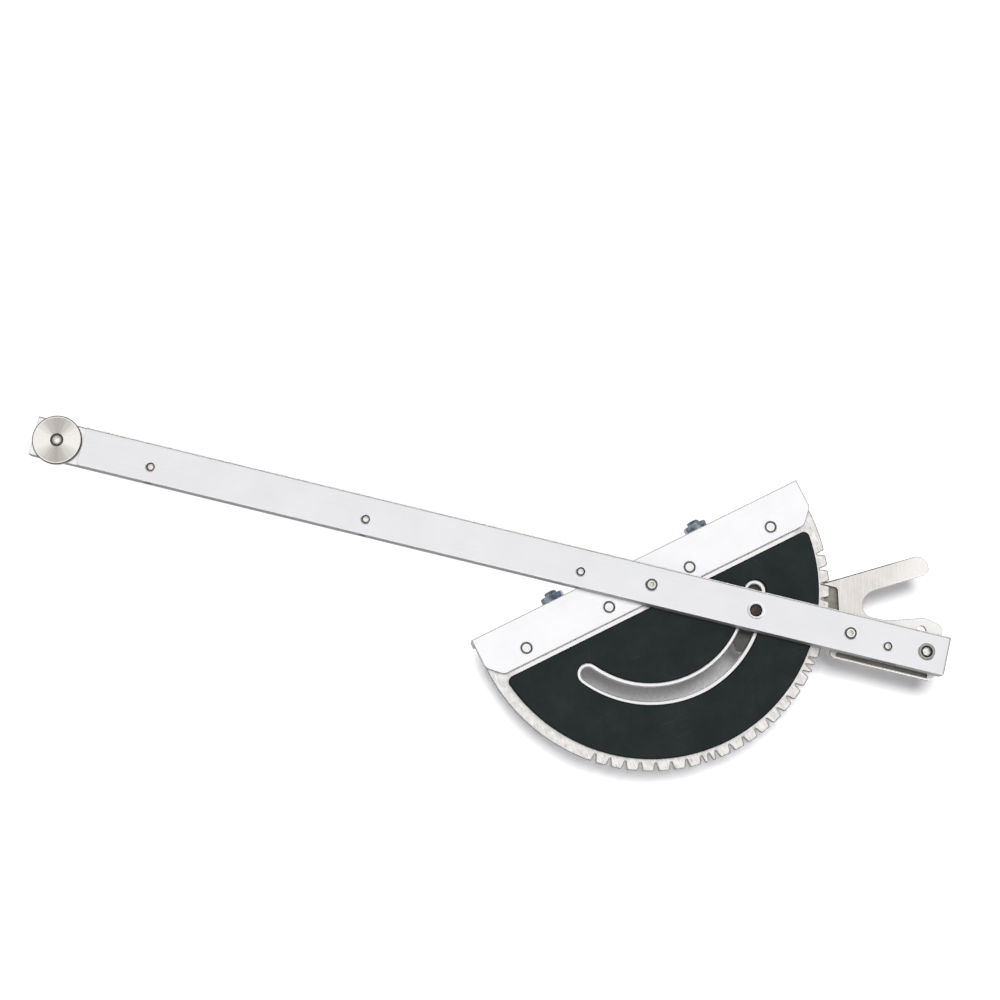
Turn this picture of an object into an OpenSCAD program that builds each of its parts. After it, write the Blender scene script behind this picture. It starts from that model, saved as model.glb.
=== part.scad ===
// Miter gauge for a table saw: a bar that slides in the table's slot, a protractor head with
// a stop notch every five degrees, a sprung index lever and a lock knob.
// Millimetres. The origin is on the head's pivot, at the bar's top face. +X runs along the bar
// towards the lever, +Z is up, and the head is drawn at its stored angle.

/* [Miter bar] */
// Length of the bar
bar_length = 457.2; // [420:0.1:600]
// Width of the bar, for a 19 mm slot
bar_width = 19; // [18:0.1:22]
// Height of the bar
bar_height = 9.5; // [9.5:0.1:12]
// Distance from the stop screw to the lever end of the bar
stop_margin = 10.2; // [9:0.1:16]
// Bevel on the long edges of the bar
bar_bevel = 0.4; // [0.2:0.1:0.8]
// Length of the thin tongue under which the slot disc sits
tongue_length = 24.5; // [24.5:0.5:32]
// Distance from the tongue end to the first side adjuster
first_adjuster = 59.4; // [45:0.1:80]
// Distance from the pivot to the nearest side adjuster
last_adjuster = 35; // [20:1:60]

/* [Slot disc] */
// Diameter of the disc that runs in the undercut of the slot
disc_diameter = 24; // [22:0.5:24.5]
// Thickness of the disc
disc_thickness = 2.5; // [2.2:0.1:3]
// Distance from the tongue end to the middle of the disc
disc_inset = 12; // [12:0.5:14]

/* [Side adjusters] */
// Diameter of the adjuster screws
adjuster_diameter = 4; // [3.6:0.1:4.4]
// Distance of an adjuster screw from the middle line of the bar
adjuster_offset = 2; // [1.5:0.1:2.2]
// Diameter of the plugs that press on the slot's wall
plug_diameter = 3.8; // [3.2:0.1:4]
// Length of the long pad beside the lever
pad_length = 13; // [10:0.5:16]

/* [Protractor head] */
// Radius over the tips of the teeth
tip_radius = 89.5; // [86:0.5:90]
// Thickness of the toothed plate
plate_thickness = 3; // [2.5:0.1:3.5]
// Thickness of the pad and of the bracket's foot under the plate
foot_thickness = 3; // [2.5:0.1:3.5]
// Depth of a stop notch
notch_depth = 4; // [3:0.1:4.5]
// Width of a stop notch at its mouth
notch_mouth = 2.7; // [2.2:0.1:2.9]
// Width of a stop notch at its floor
notch_floor = 0.6; // [0.4:0.1:0.9]
// Angle between neighbouring stops
stop_step = 5; // [5:5:15]
// Largest angle either way
stop_limit = 60; // [45:15:60]
// Extra stop either way
extra_stop = 22.5; // [22.5:15:37.5]
// Angle at which the head is stored, one of the stops
stored_angle = 50; // [-45:5:50]
// Angle of the pawl seen from the pivot
pawl_bearing = -15.1; // [-16.5:0.1:-14]
// Radius of the lock slot's middle line
lock_radius = 52.3; // [50:0.1:54]
// Width of the lock slot in the plate
slot_width = 7; // [6.6:0.1:8]
// Width of the lock slot in the pad
pad_slot_width = 10.7; // [9:0.1:12]
// Radius of the pad
pad_radius = 83.8; // [80:0.1:84.5]
// Distance of the pad's straight edge from the pivot
pad_edge = 9.1; // [8:0.1:10]

/* [Fence bracket] */
// Length of the bracket
bracket_length = 180; // [178:1:220]
// Height of the bracket's upright
bracket_height = 50; // [46:1:60]
// Height of the upright at its two ends
end_height = 20; // [14:1:24]
// Thickness of the upright
upright_thickness = 3; // [2.5:0.1:4]
// Distance of the fence face from the pivot
fence_face = 15.2; // [14:0.1:18]
// Distance of the foot's edge from the pivot
foot_edge = 6.8; // [6:0.1:7.5]
// Distance of the fence bolts from the middle
bolt_place = 41; // [34:0.1:46]
// Height of the fence bolts above the foot's underside
bolt_height = 36.7; // [30:0.1:38]
// Diameter of the fence bolts
bolt_diameter = 6.35; // [5:0.05:6.5]
// Length of the fence bolts under the head
bolt_length = 12; // [11.5:0.5:16]

/* [Index lever] */
// Distance of the lever's pivot from the tips of the teeth
lever_gap = 10.1; // [9.8:0.1:11]
// Distance of the stop post from the lever's pivot
stop_reach = 38; // [36:0.5:39]
// Length of the finger, from the pawl's tip
finger_length = 54; // [48:0.5:60]
// Width of the finger
finger_width = 10.2; // [9:0.1:10.6]
// Angle through which the lever swings
lever_swing = 16; // [14:0.5:17]
// Gap between the pawl and the sides of a notch
pawl_gap = 0.3; // [0.28:0.01:0.34]

/* [Lock knob] */
// Diameter over the knob's lobes
knob_diameter = 38; // [32:1:40]
// Height of the knob's grip
knob_height = 20; // [16:1:26]
// Number of lobes
knob_lobes = 8; // [6:1:10]
// Diameter of the lock stud
stud_diameter = 6; // [5:0.5:6]

/* [Pointer] */
// Thickness of the pointer plate
pointer_thickness = 2; // [1.5:0.1:2.5]
// Distance of the pointer's tip from the head's pivot
pointer_tip = 74; // [73:0.5:77]
// Reach of the pointer plate's wing over the pawl, from the bar's middle line
wing_reach = 20; // [18:0.5:24]
// Width of the wing
wing_width = 9; // [7:0.5:10]

/* [Hidden] */
// Clearance round a shaft that turns or slides in its hole
run_gap = 0.05;
// Clearance between faces that pass each other
pass_gap = 0.3;
// Clearance of a screw's head in its recess
head_gap = 0.1;
// Smallest cut past a face
over = 1;

// Levels, from the bar's underside up
bar_bottom = -bar_height;
foot_level = pass_gap;
plate_level = foot_level + foot_thickness;
plate_top = plate_level + plate_thickness;
pointer_level = plate_top + pass_gap;
pointer_top = pointer_level + pointer_thickness;

// Screws
small_shank = 2;
small_head = 2.7;
small_head_height = 2.6;
socket_depth = 1.6;
disc_head = 3.1;
disc_recess = 1.8;
stop_head = 3.8;
stop_head_height = 3.6;
nut_radius = 4.2;
nut_height = 2.4;

// Places along the bar
lever_pivot = tip_radius + lever_gap;
stop_place = lever_pivot + stop_reach;
rear_adjuster = lever_pivot + stop_reach / 2;
lever_end = stop_place + stop_margin;
tongue_end = bar_length - lever_end;
disc_place = disc_inset - tongue_end;
front_row = tongue_end - first_adjuster - last_adjuster;
adjuster_places = [for (i = [0:2]) -last_adjuster - front_row * (1 - i / 2)];

// Side adjusters
plug_level = -bar_height / 2;
plug_radius = plug_diameter / 2;
screw_radius = adjuster_diameter / 2;
cone_tip = 0.4;
cone_gap = 0.2;
plug_end = bar_width / 2 - 0.1;
cone_height = screw_radius - cone_tip;
cone_start = plug_level - cone_height + 0.15;
nose_apex = adjuster_offset + screw_radius - (plug_level - cone_start) + cone_gap;

// Pivot
pivot_radius = 3.5;
pivot_cap_radius = 8;
pivot_cap_height = 1.8;

// Stops and notches
notch_angle = atan((notch_mouth - notch_floor) / 2 / notch_depth);
floor_radius = tip_radius - notch_depth;
tooth_bevel = 0.5;
stops = concat([for (a = [-stop_limit:stop_step:stop_limit]) a], [-extra_stop, extra_stop]);
slot_sweep = stop_limit + 2;
arc_steps = 8;

// Bracket
foot_corner = 7;
corner_radius = 4;
upright_corner = 8;
pad_corner = 3;
rivet_places = [-67.6, -22.3, 22.3, 67.6];
rivet_line = 0;
rivet_shank = 2;
rivet_head = 2.7;
rivet_sink = 1.2;
bolt_head_height = 4;
washer_thickness = 1.6;
washer_radius = 7;
bolt_nut_height = 5.5;
bolt_chamfer = 0.8;
bolt_flats = bolt_diameter * 7 / 4;
bolt_corner = bolt_flats / 2 / cos(30);
nut_turns = [0, 15];

// Lever
stop_neck = 2.1;
stop_slot = 2 * (stop_neck + pass_gap);
slot_margin = 1.3;
post_radius = 5;
post_neck = 3;
post_seat = plate_level - 0.1;
lever_tail = stop_reach + 8.6;
lever_side = bar_width / 2 + 0.2;
lever_front = 5.8;
lever_shoulder = 12;
crotch_root = 3;
crotch_depth = 11.6;
tab_root = 19;
tab_depth = 12.4;
tab_knee = 37;
tab_height = 18.2;
tab_end = 16;
finger_root = 21;
hook_length = 8.2;
stop_radius = 3.4;

// Lock
stud_radius = stud_diameter / 2;
stud_mouth = stud_radius + 1;
clamp_radius = 9;
clamp_thickness = 1.5;
hub_radius = 9;
hub_height = 4.2;
knob_level = plate_top + clamp_thickness;
grip_level = knob_level + hub_height;
knob_top = grip_level + knob_height;
insert_radius = 5;
insert_depth = 4;

// Spring under the lever
wire = 0.8;
coil_radius = post_radius + 0.3 + wire / 2;
coil_turns = 2.5;
spring_bottom = 0.15 + wire / 2;
spring_rise = 0.95;
spring_play = 0.15;
spring_leg = stop_reach + 3;
wire_sides = 8;
turn_steps = 20;

$fn = 64;

function unit(v) = v / norm(v);
function half_turn(a) = a > 180 ? a - 360 : a < -180 ? a + 360 : a;
function polar(r, a) = [r * cos(a), r * sin(a)];

// Points that round the corner b, between a and c, with radius r
function corner(a, b, c, r) =
    let (
        u = unit(a - b),
        v = unit(c - b),
        half = acos(u * v) / 2,
        middle = b + unit(u + v) * r / sin(half),
        start = b + u * r / tan(half) - middle,
        end = b + v * r / tan(half) - middle,
        from = atan2(start.y, start.x),
        sweep = half_turn(atan2(end.y, end.x) - from)
    )
    r == 0 ? [b] : [for (i = [0:arc_steps]) middle + polar(r, from + sweep * i / arc_steps)];

// Outline with each corner rounded. An entry is [x, y, radius].
function rounded(corners) =
    let (n = len(corners), at = function (i) [corners[i % n].x, corners[i % n].y])
    [for (i = [0:n - 1]) each corner(at(i + n - 1), at(i), at(i + 1), corners[i].z)];

// Outline of a slot along an arc about the origin, with round ends
function slot_outline(r, width, from, to, steps) =
    let (half = width / 2, at = function (i) from + (to - from) * i / steps)
    concat(
        [for (i = [0:steps]) polar(r + half, at(i))],
        [for (i = [1:arc_steps - 1]) polar(r, to) + polar(half, to + 180 * i / arc_steps)],
        [for (i = [steps:-1:0]) polar(r - half, at(i))],
        [for (i = [1:arc_steps - 1]) polar(r, from) + polar(half, from + 180 + 180 * i / arc_steps)]
    );

module cut(x, y, z, r, height) {
    translate([x, y, z]) cylinder(r = r, h = height);
}

// Six-sided socket, cut upwards from z
module hex_socket(r, depth) {
    translate([0, 0, -over]) cylinder(r = r, h = depth + over, $fn = 6);
}

// Cut for the lock slot, about the pivot
module arc_slot(width, z, height) {
    translate([0, 0, z]) linear_extrude(height)
        polygon(slot_outline(lock_radius, width, -slot_sweep, slot_sweep, 48));
}

module miter_bar() {
    edge = bar_width / 2;
    inset = edge - bar_bevel;
    color("gainsboro") difference() {
        translate([-tongue_end, 0, 0]) rotate([90, 0, 90])
            linear_extrude(bar_length) polygon([
                [-edge, bar_bottom + bar_bevel], [-inset, bar_bottom],
                [inset, bar_bottom], [edge, bar_bottom + bar_bevel],
                [edge, -bar_bevel], [inset, 0], [-inset, 0], [-edge, -bar_bevel]
            ]);
        translate([-tongue_end - over, -bar_width, bar_bottom - over])
            cube([tongue_length + over, 2 * bar_width, disc_thickness + over]);
        cut(disc_place, 0, bar_bottom, small_shank + run_gap, bar_height - 1.5);
        for (x = concat(adjuster_places, [rear_adjuster])) {
            cut(x, adjuster_offset, bar_bottom - over, screw_radius + run_gap, bar_height + 2 * over);
            translate([x, adjuster_offset, plug_level]) rotate([-90, 0, 0])
                cylinder(r = plug_radius + run_gap, h = bar_width);
        }
        translate([rear_adjuster, 0, 0]) side_pad_shape(plug_radius + run_gap, 5.1, bar_width);
        for (x = [0, lever_pivot]) {
            cut(x, 0, bar_bottom - over, small_shank + run_gap, bar_height + 2 * over);
            cut(x, 0, bar_bottom - over, small_head + head_gap, small_head_height + head_gap + over);
        }
        cut(stop_place, 0, bar_bottom - over, small_shank + run_gap, bar_height + 2 * over);
        cut(stop_place, 0, bar_bottom - over, stop_head + head_gap, stop_head_height + head_gap + over);
        cut(lock_radius, 0, bar_bottom - over, stud_radius + run_gap, bar_height + 2 * over);
        translate([lock_radius, 0, bar_bottom - 0.01])
            cylinder(r1 = stud_mouth, r2 = stud_radius, h = stud_mouth - stud_radius);
    }
}

module slot_disc() {
    r = disc_diameter / 2;
    bevel = 0.35;
    color("silver") translate([disc_place, 0, bar_bottom]) difference() {
        rotate_extrude($fn = 96) polygon([
            [0, 0], [r - bevel, 0], [r, bevel], [r, disc_thickness - bevel],
            [r - bevel, disc_thickness], [0, disc_thickness]
        ]);
        cut(0, 0, -over, small_shank + run_gap, disc_thickness + 2 * over);
        cut(0, 0, -over, disc_head + head_gap, disc_recess + over);
    }
}

// Socket screw that stands on its head at z = 0, with the shank up
module socket_screw(head, head_height, length, socket) {
    difference() {
        union() {
            rotate_extrude() polygon([
                [0, 0], [head - 0.3, 0], [head, 0.3], [head, head_height], [0, head_height]
            ]);
            cylinder(r = small_shank, h = length);
        }
        hex_socket(socket, socket_depth);
    }
}

module disc_screw() {
    length = bar_height - 1.8;
    color("dimgray") translate([disc_place, 0, bar_bottom + 0.1])
        socket_screw(disc_head, disc_recess - 0.1, length, 1.7);
}

module adjuster_screw(x) {
    bottom = bar_bottom + 0.5;
    color("gray") translate([x, adjuster_offset, 0]) difference() {
        rotate_extrude() polygon([
            [0, bottom], [screw_radius - 0.3, bottom], [screw_radius, bottom + 0.3],
            [screw_radius, cone_start], [cone_tip, cone_start + cone_height],
            [0, cone_start + cone_height]
        ]);
        translate([0, 0, bottom]) hex_socket(1.15, 1.5);
    }
}

// Nose of a plug, which the cone of its adjuster pushes outwards along +Y
module plug_nose(from, to) {
    translate([0, 0, plug_level]) rotate([-90, 0, 0]) rotate_extrude() polygon([
        [0, nose_apex + cone_tip], [cone_tip, nose_apex + cone_tip],
        [plug_radius, nose_apex + plug_radius], [plug_radius, to - from], [plug_radius, to], [0, to]
    ]);
}

module side_plug(x) {
    color("dimgray") translate([x, 0, 0]) plug_nose(0, plug_end);
}

// Long rounded block along X, from y to y + depth
module side_pad_shape(r, y, depth) {
    straight = pad_length / 2 - plug_radius;
    translate([0, y, plug_level]) rotate([-90, 0, 0]) {
        for (x = [-straight, straight]) translate([x, 0, 0]) cylinder(r = r, h = depth);
        translate([-straight, -r, 0]) cube([2 * straight, 2 * r, depth]);
    }
}

module side_pad() {
    color("dimgray") translate([rear_adjuster, 0, 0]) {
        plug_nose(0, 5.6);
        side_pad_shape(plug_radius, 5.2, plug_end - 5.2);
    }
}

module pivot_bush() {
    color("darkgoldenrod") difference() {
        cylinder(r = pivot_radius, h = plate_top + 0.2);
        cut(0, 0, -over, small_shank + run_gap, plate_top + 2 * over);
    }
}

module pivot_screw() {
    length = bar_height - 0.1 + plate_top + 0.2 + pivot_cap_height - 0.4;
    color("silver") translate([0, 0, bar_bottom + 0.1])
        socket_screw(small_head, small_head_height, length, 1.5);
}

module pivot_cap() {
    bevel = 0.5;
    color("silver") translate([0, 0, plate_top + 0.2]) difference() {
        rotate_extrude() polygon([
            [0, 0], [pivot_cap_radius, 0], [pivot_cap_radius, pivot_cap_height - bevel],
            [pivot_cap_radius - bevel, pivot_cap_height], [0, pivot_cap_height]
        ]);
        cut(0, 0, -over, small_shank + run_gap, pivot_cap_height + 2 * over);
    }
}

// Outline of one stop notch, along +X
module notch() {
    mouth = tip_radius - tooth_bevel;
    half_floor = notch_floor / 2;
    half_mouth = half_floor + (mouth - floor_radius) * tan(notch_angle);
    polygon([
        [floor_radius, -half_floor], [mouth, -half_mouth],
        [tip_radius + over, -half_mouth - tooth_bevel - over],
        [tip_radius + over, half_mouth + tooth_bevel + over],
        [mouth, half_mouth], [floor_radius, half_floor]
    ]);
}

module protractor_plate() {
    back = fence_face - upright_thickness;
    color("lightgray") rotate([0, 0, stored_angle]) difference() {
        translate([0, 0, plate_level]) linear_extrude(plate_thickness) intersection() {
            circle(r = tip_radius, $fn = 180);
            translate([-back, -tip_radius - over]) square([2 * tip_radius, 2 * (tip_radius + over)]);
        }
        for (stop = stops) rotate([0, 0, pawl_bearing - stop])
            translate([0, 0, plate_level - over]) linear_extrude(plate_thickness + 2 * over) notch();
        arc_slot(slot_width, plate_level - over, plate_thickness + 2 * over);
        cut(0, 0, 0, pivot_radius + run_gap, plate_top + over);
        for (y = rivet_places) cut(rivet_line, y, 0, rivet_shank + run_gap, plate_top + over);
    }
}

// Outline of the pad: a disc segment whose two corners are rounded
function pad_outline() =
    let (
        x = pad_edge + pad_corner,
        y = sqrt((pad_radius - pad_corner) * (pad_radius - pad_corner) - x * x),
        end = atan2(y, x),
        steps = 60
    )
    concat(
        [for (i = [0:steps]) polar(pad_radius, -end + 2 * end * i / steps)],
        [for (i = [1:arc_steps]) [x, y] + polar(pad_corner, end + (180 - end) * i / arc_steps)],
        [for (i = [0:arc_steps - 1]) [x, -y] + polar(pad_corner, 180 + (180 - end) * i / arc_steps)]
    );

module slide_pad() {
    color("#26292a") rotate([0, 0, stored_angle]) translate([0, 0, foot_level]) difference() {
        linear_extrude(foot_thickness) polygon(pad_outline());
        arc_slot(pad_slot_width, -over, foot_thickness + 2 * over);
    }
}

module fence_bracket() {
    half = bracket_length / 2;
    top = foot_level + bracket_height;
    shoulder = half - (bracket_height - end_height);
    color("whitesmoke") rotate([0, 0, stored_angle]) difference() {
        union() {
            translate([0, 0, foot_level]) linear_extrude(foot_thickness) polygon(rounded([
                [-fence_face, -half, 0], [foot_edge - foot_corner, -half, corner_radius],
                [foot_edge, -half + foot_corner, corner_radius],
                [foot_edge, half - foot_corner, corner_radius],
                [foot_edge - foot_corner, half, corner_radius], [-fence_face, half, 0]
            ]));
            translate([-fence_face, 0, 0]) rotate([90, 0, 90])
                linear_extrude(upright_thickness) polygon(rounded([
                    [-half, foot_level, 0], [half, foot_level, 0],
                    [half, foot_level + end_height, upright_corner], [shoulder, top, upright_corner],
                    [-shoulder, top, upright_corner], [-half, foot_level + end_height, upright_corner]
                ]));
        }
        cut(0, 0, 0, pivot_radius + run_gap, plate_top);
        for (y = rivet_places) {
            cut(rivet_line, y, 0, rivet_shank + run_gap, plate_top);
            cut(rivet_line, y, foot_level - over, rivet_head + run_gap, rivet_sink + over);
        }
        for (y = [-bolt_place, bolt_place])
            translate([-fence_face - over, y, foot_level + bolt_height]) rotate([0, 90, 0])
                cylinder(r = bolt_diameter / 2 + run_gap, h = upright_thickness + 2 * over);
    }
}

module bracket_rivets() {
    dome = 0.8;
    color("silver") rotate([0, 0, stored_angle]) for (y = rivet_places) translate([rivet_line, y, 0])
        rotate_extrude() polygon([
            [0, foot_level + 0.05], [rivet_head - 0.2, foot_level + 0.05],
            [rivet_head, foot_level + 0.25], [rivet_head, foot_level + rivet_sink],
            [rivet_shank, foot_level + rivet_sink], [rivet_shank, plate_top],
            [rivet_head + 0.5, plate_top], [rivet_head, plate_top + dome * 0.75],
            [rivet_shank * 0.6, plate_top + dome], [0, plate_top + dome]
        ]);
}

// Copies its children at both fence bolts, with their axis along the bolt and away from
// the fence, each turned by its own angle
module at_fence_bolts(x, turns) {
    rotate([0, 0, stored_angle]) for (i = [0, 1])
        translate([x, (2 * i - 1) * bolt_place, foot_level + bolt_height])
            rotate([0, 90, 0]) rotate([0, 0, turns[i]]) children();
}

// The heads are on the knob's side, so that the bolts end in nuts on the fence's side
module fence_bolts() {
    r = bolt_diameter / 2;
    seat = upright_thickness + washer_thickness - fence_face;
    color("slategray") at_fence_bolts(seat, [0, 0]) union() {
        intersection() {
            cylinder(r = bolt_corner, h = bolt_head_height, $fn = 6);
            cylinder(r1 = bolt_flats / 2 + 2 * bolt_head_height, r2 = bolt_flats / 2, h = bolt_head_height);
        }
        translate([0, 0, -bolt_length]) rotate_extrude() polygon([
            [0, 0], [r - bolt_chamfer, 0], [r, bolt_chamfer], [r, bolt_length + over], [0, bolt_length + over]
        ]);
    }
}

module fence_washers() {
    color("silver") at_fence_bolts(upright_thickness - fence_face, [0, 0]) difference() {
        cylinder(r = washer_radius, h = washer_thickness);
        cut(0, 0, -over, bolt_diameter / 2 + run_gap, washer_thickness + 2 * over);
    }
}

module fence_nuts() {
    color("slategray") at_fence_bolts(-fence_face - bolt_nut_height, nut_turns) difference() {
        intersection() {
            cylinder(r = bolt_corner, h = bolt_nut_height, $fn = 6);
            cylinder(r1 = bolt_flats / 2, r2 = bolt_flats / 2 + 2 * bolt_nut_height, h = bolt_nut_height);
        }
        cut(0, 0, -over, bolt_diameter / 2 + run_gap, bolt_nut_height + 2 * over);
    }
}

// Post on the bar with a shoulder under the lever and a neck through it
module post(x, shoulder, neck) {
    color("silver") translate([x, 0, 0]) difference() {
        rotate_extrude() polygon([
            [0, 0], [shoulder, 0], [shoulder, post_seat], [neck, post_seat],
            [neck, pointer_level], [0, pointer_level]
        ]);
        cut(0, 0, -over, small_shank - 0.6 + run_gap, pointer_level + 2 * over);
    }
}

module lever_post() {
    post(lever_pivot, post_radius, post_neck);
}

module stop_post() {
    post(stop_place, stop_radius, stop_neck);
}

// Screw up through the bar, whose shank steps down inside the post
module bar_screw(x, head, head_height, socket) {
    end = pointer_top + nut_height + 0.6;
    color("dimgray") translate([x, 0, bar_bottom + 0.1]) difference() {
        union() {
            rotate_extrude() polygon([
                [0, 0], [head - 0.3, 0], [head, 0.3], [head, head_height],
                [small_shank, head_height], [small_shank, bar_height - 0.2],
                [small_shank - 0.6, bar_height - 0.2], [small_shank - 0.6, end + bar_height - 0.1],
                [0, end + bar_height - 0.1]
            ]);
        }
        hex_socket(socket, socket_depth);
    }
}

module lever_screw() {
    bar_screw(lever_pivot, small_head, small_head_height, 1.5);
}

module stop_screw() {
    bar_screw(stop_place, stop_head, stop_head_height, 2.2);
}

module pointer_nuts() {
    color("silver") for (x = [lever_pivot, stop_place]) translate([x, 0, pointer_top]) difference() {
        intersection() {
            cylinder(r = nut_radius, h = nut_height, $fn = 6);
            cylinder(r1 = nut_radius + 1.5, r2 = nut_radius - 0.3, h = nut_height);
        }
        cut(0, 0, -over, small_shank - 0.6 + run_gap, nut_height + 2 * over);
    }
}

// Lever outline about its own pivot. The pawl follows the notch that it sits in.
module lever_outline() {
    half_tip = notch_floor / 2 + pawl_gap * tan(notch_angle) - pawl_gap / cos(notch_angle);
    tip = polar(floor_radius + pawl_gap, pawl_bearing) - [lever_pivot, 0];
    across = [-sin(pawl_bearing), cos(pawl_bearing)];
    finger = pawl_bearing - notch_angle;
    outer = tip - across * half_tip;
    inner = tip + across * half_tip;
    end = outer + polar(finger_length, finger);
    inner_end = end + polar(finger_width, finger + 90);
    crotch = inner_end - polar(finger_length - finger_root, finger);
    hook = inner + polar(hook_length, pawl_bearing + notch_angle);
    polygon(rounded([
        [outer.x, outer.y, 0], [end.x, end.y, 5.5], [inner_end.x, inner_end.y, 3.5],
        [crotch.x, crotch.y, 5], [crotch_root, -crotch_depth, 5],
        [tab_root, -tab_depth, 8], [tab_knee, -tab_height, 8], [lever_tail, -tab_end, 4],
        [lever_tail, lever_side, 3], [-lever_front, lever_side, 3],
        [-lever_front, -lever_shoulder, 3], [hook.x, hook.y, 2], [inner.x, inner.y, 0]
    ]));
}

module index_lever() {
    color("lightgray") translate([lever_pivot, 0, plate_level]) difference() {
        linear_extrude(plate_thickness) lever_outline();
        cut(0, 0, -over, post_neck + run_gap, plate_thickness + 2 * over);
        translate([0, 0, -over]) linear_extrude(plate_thickness + 2 * over)
            polygon(slot_outline(stop_reach, stop_slot, -lever_swing - slot_margin, slot_margin, 8));
        cut(spring_end.x, spring_end.y, -over, wire / 2 + spring_play, plate_thickness + 2 * over);
    }
}

// Middle line of the torsion spring: a leg on the stop post, a coil about the lever post
// and a tail that stands up in the lever's hole
spring_end = polar(coil_radius, -90 - 360 * coil_turns);
spring_path = concat(
    [[spring_leg, -stop_radius - wire / 2 - 0.05, spring_bottom]],
    [for (i = [0:turn_steps * coil_turns])
        let (a = -90 - 360 * i / turn_steps)
        [coil_radius * cos(a), coil_radius * sin(a), spring_bottom + spring_rise * i / turn_steps]],
    [[spring_end.x, spring_end.y, plate_level + 2]]
);

// Tube of the spring's wire along a path
module wire_tube(path) {
    n = len(path);
    along = [for (i = [0:n - 1]) unit(path[min(i + 1, n - 1)] - path[max(i - 1, 0)])];
    side = [for (d = along) unit(cross(d, abs(d.z) > 0.9 ? [1, 0, 0] : [0, 0, 1]))];
    points = [for (i = [0:n - 1], k = [0:wire_sides - 1])
        path[i] + wire / 2 * (cos(360 * k / wire_sides) * side[i]
            + sin(360 * k / wire_sides) * cross(along[i], side[i]))];
    skin = [for (i = [0:n - 2], k = [0:wire_sides - 1])
        let (next = (k + 1) % wire_sides)
        [i * wire_sides + k, i * wire_sides + next, (i + 1) * wire_sides + next, (i + 1) * wire_sides + k]];
    first = [for (k = [0:wire_sides - 1]) wire_sides - 1 - k];
    last = [for (k = [0:wire_sides - 1]) (n - 1) * wire_sides + k];
    polyhedron(points, concat([first], skin, [last]));
}

module lever_spring() {
    color("gray") translate([lever_pivot, 0, 0]) wire_tube(spring_path);
}

// Pointer plate over the lever: a tip on the scale, and a wing that keeps the pawl flat
module pointer_plate() {
    front = floor_radius + 0.5;
    side = bar_width / 2 - 1;
    neck = 5;
    point = 0.4;
    color("silver") difference() {
        translate([0, 0, pointer_level]) linear_extrude(pointer_thickness) polygon(rounded([
            [pointer_tip, -point, 0], [front, -neck, 3], [front, -wing_reach, 3],
            [front + wing_width, -wing_reach, 3], [front + wing_width + 6, -side, 5],
            [lever_end - 2, -side, 4], [lever_end - 2, side, 4], [front, side, 4],
            [front, neck, 2], [pointer_tip, point, 0]
        ]));
        for (x = [lever_pivot, stop_place])
            cut(x, 0, pointer_level - over, small_shank - 0.6 + run_gap, pointer_thickness + 2 * over);
    }
}

module clamp_washer() {
    bevel = 0.3;
    color("silver") translate([lock_radius, 0, plate_top]) difference() {
        rotate_extrude() polygon([
            [0, 0], [clamp_radius - bevel, 0], [clamp_radius, bevel],
            [clamp_radius, clamp_thickness - bevel], [clamp_radius - bevel, clamp_thickness],
            [0, clamp_thickness]
        ]);
        cut(0, 0, -over, stud_radius + run_gap, clamp_thickness + 2 * over);
    }
}

module lock_stud() {
    bottom = bar_bottom + 1.6;
    bevel = 0.5;
    color("dimgray") translate([lock_radius, 0, 0]) rotate_extrude() polygon([
        [0, bottom], [stud_radius - bevel, bottom], [stud_radius, bottom + bevel],
        [stud_radius, knob_top - insert_depth], [0, knob_top - insert_depth]
    ]);
}

module knob_insert() {
    color("goldenrod") translate([lock_radius, 0, knob_level]) difference() {
        cylinder(r = insert_radius, h = knob_top - insert_depth - knob_level);
        cut(0, 0, -over, stud_radius + run_gap, knob_height + hub_height + 2 * over);
    }
}

module lock_knob() {
    r = knob_diameter / 2;
    scallop = PI * r / knob_lobes * 0.72;
    color("#1f2122") translate([lock_radius, 0, knob_level]) difference() {
        rotate_extrude($fn = 96) polygon(rounded([
            [0, 0, 0], [hub_radius, 0, 0], [hub_radius + 1.5, hub_height, 1], [r, hub_height, 1.5],
            [r, hub_height + knob_height - 4, 6], [0, hub_height + knob_height, 0]
        ]));
        for (i = [0:knob_lobes - 1]) rotate([0, 0, 360 * (i + 0.5) / knob_lobes])
            cut(r + scallop * 0.45, 0, hub_height - over, scallop, knob_height + 2 * over);
        cut(0, 0, -over, insert_radius + run_gap, knob_top - insert_depth - knob_level + over);
    }
}

miter_bar();
slot_disc();
disc_screw();
adjuster_screw(adjuster_places[0]);  // adjuster_screw_1
adjuster_screw(adjuster_places[1]);  // adjuster_screw_2
adjuster_screw(adjuster_places[2]);  // adjuster_screw_3
adjuster_screw(rear_adjuster);  // adjuster_screw_4
side_plug(adjuster_places[0]);  // side_plug_1
side_plug(adjuster_places[1]);  // side_plug_2
side_plug(adjuster_places[2]);  // side_plug_3
side_pad();
pivot_bush();
pivot_screw();
pivot_cap();
protractor_plate();
slide_pad();
fence_bracket();
bracket_rivets();
fence_bolts();
fence_washers();
fence_nuts();
lever_post();
lever_screw();
stop_post();
stop_screw();
lever_spring();
index_lever();
pointer_plate();
pointer_nuts();
clamp_washer();
lock_stud();
knob_insert();
lock_knob();
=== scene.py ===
import math
import bmesh
import bpy
from mathutils import Matrix, Vector


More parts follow.
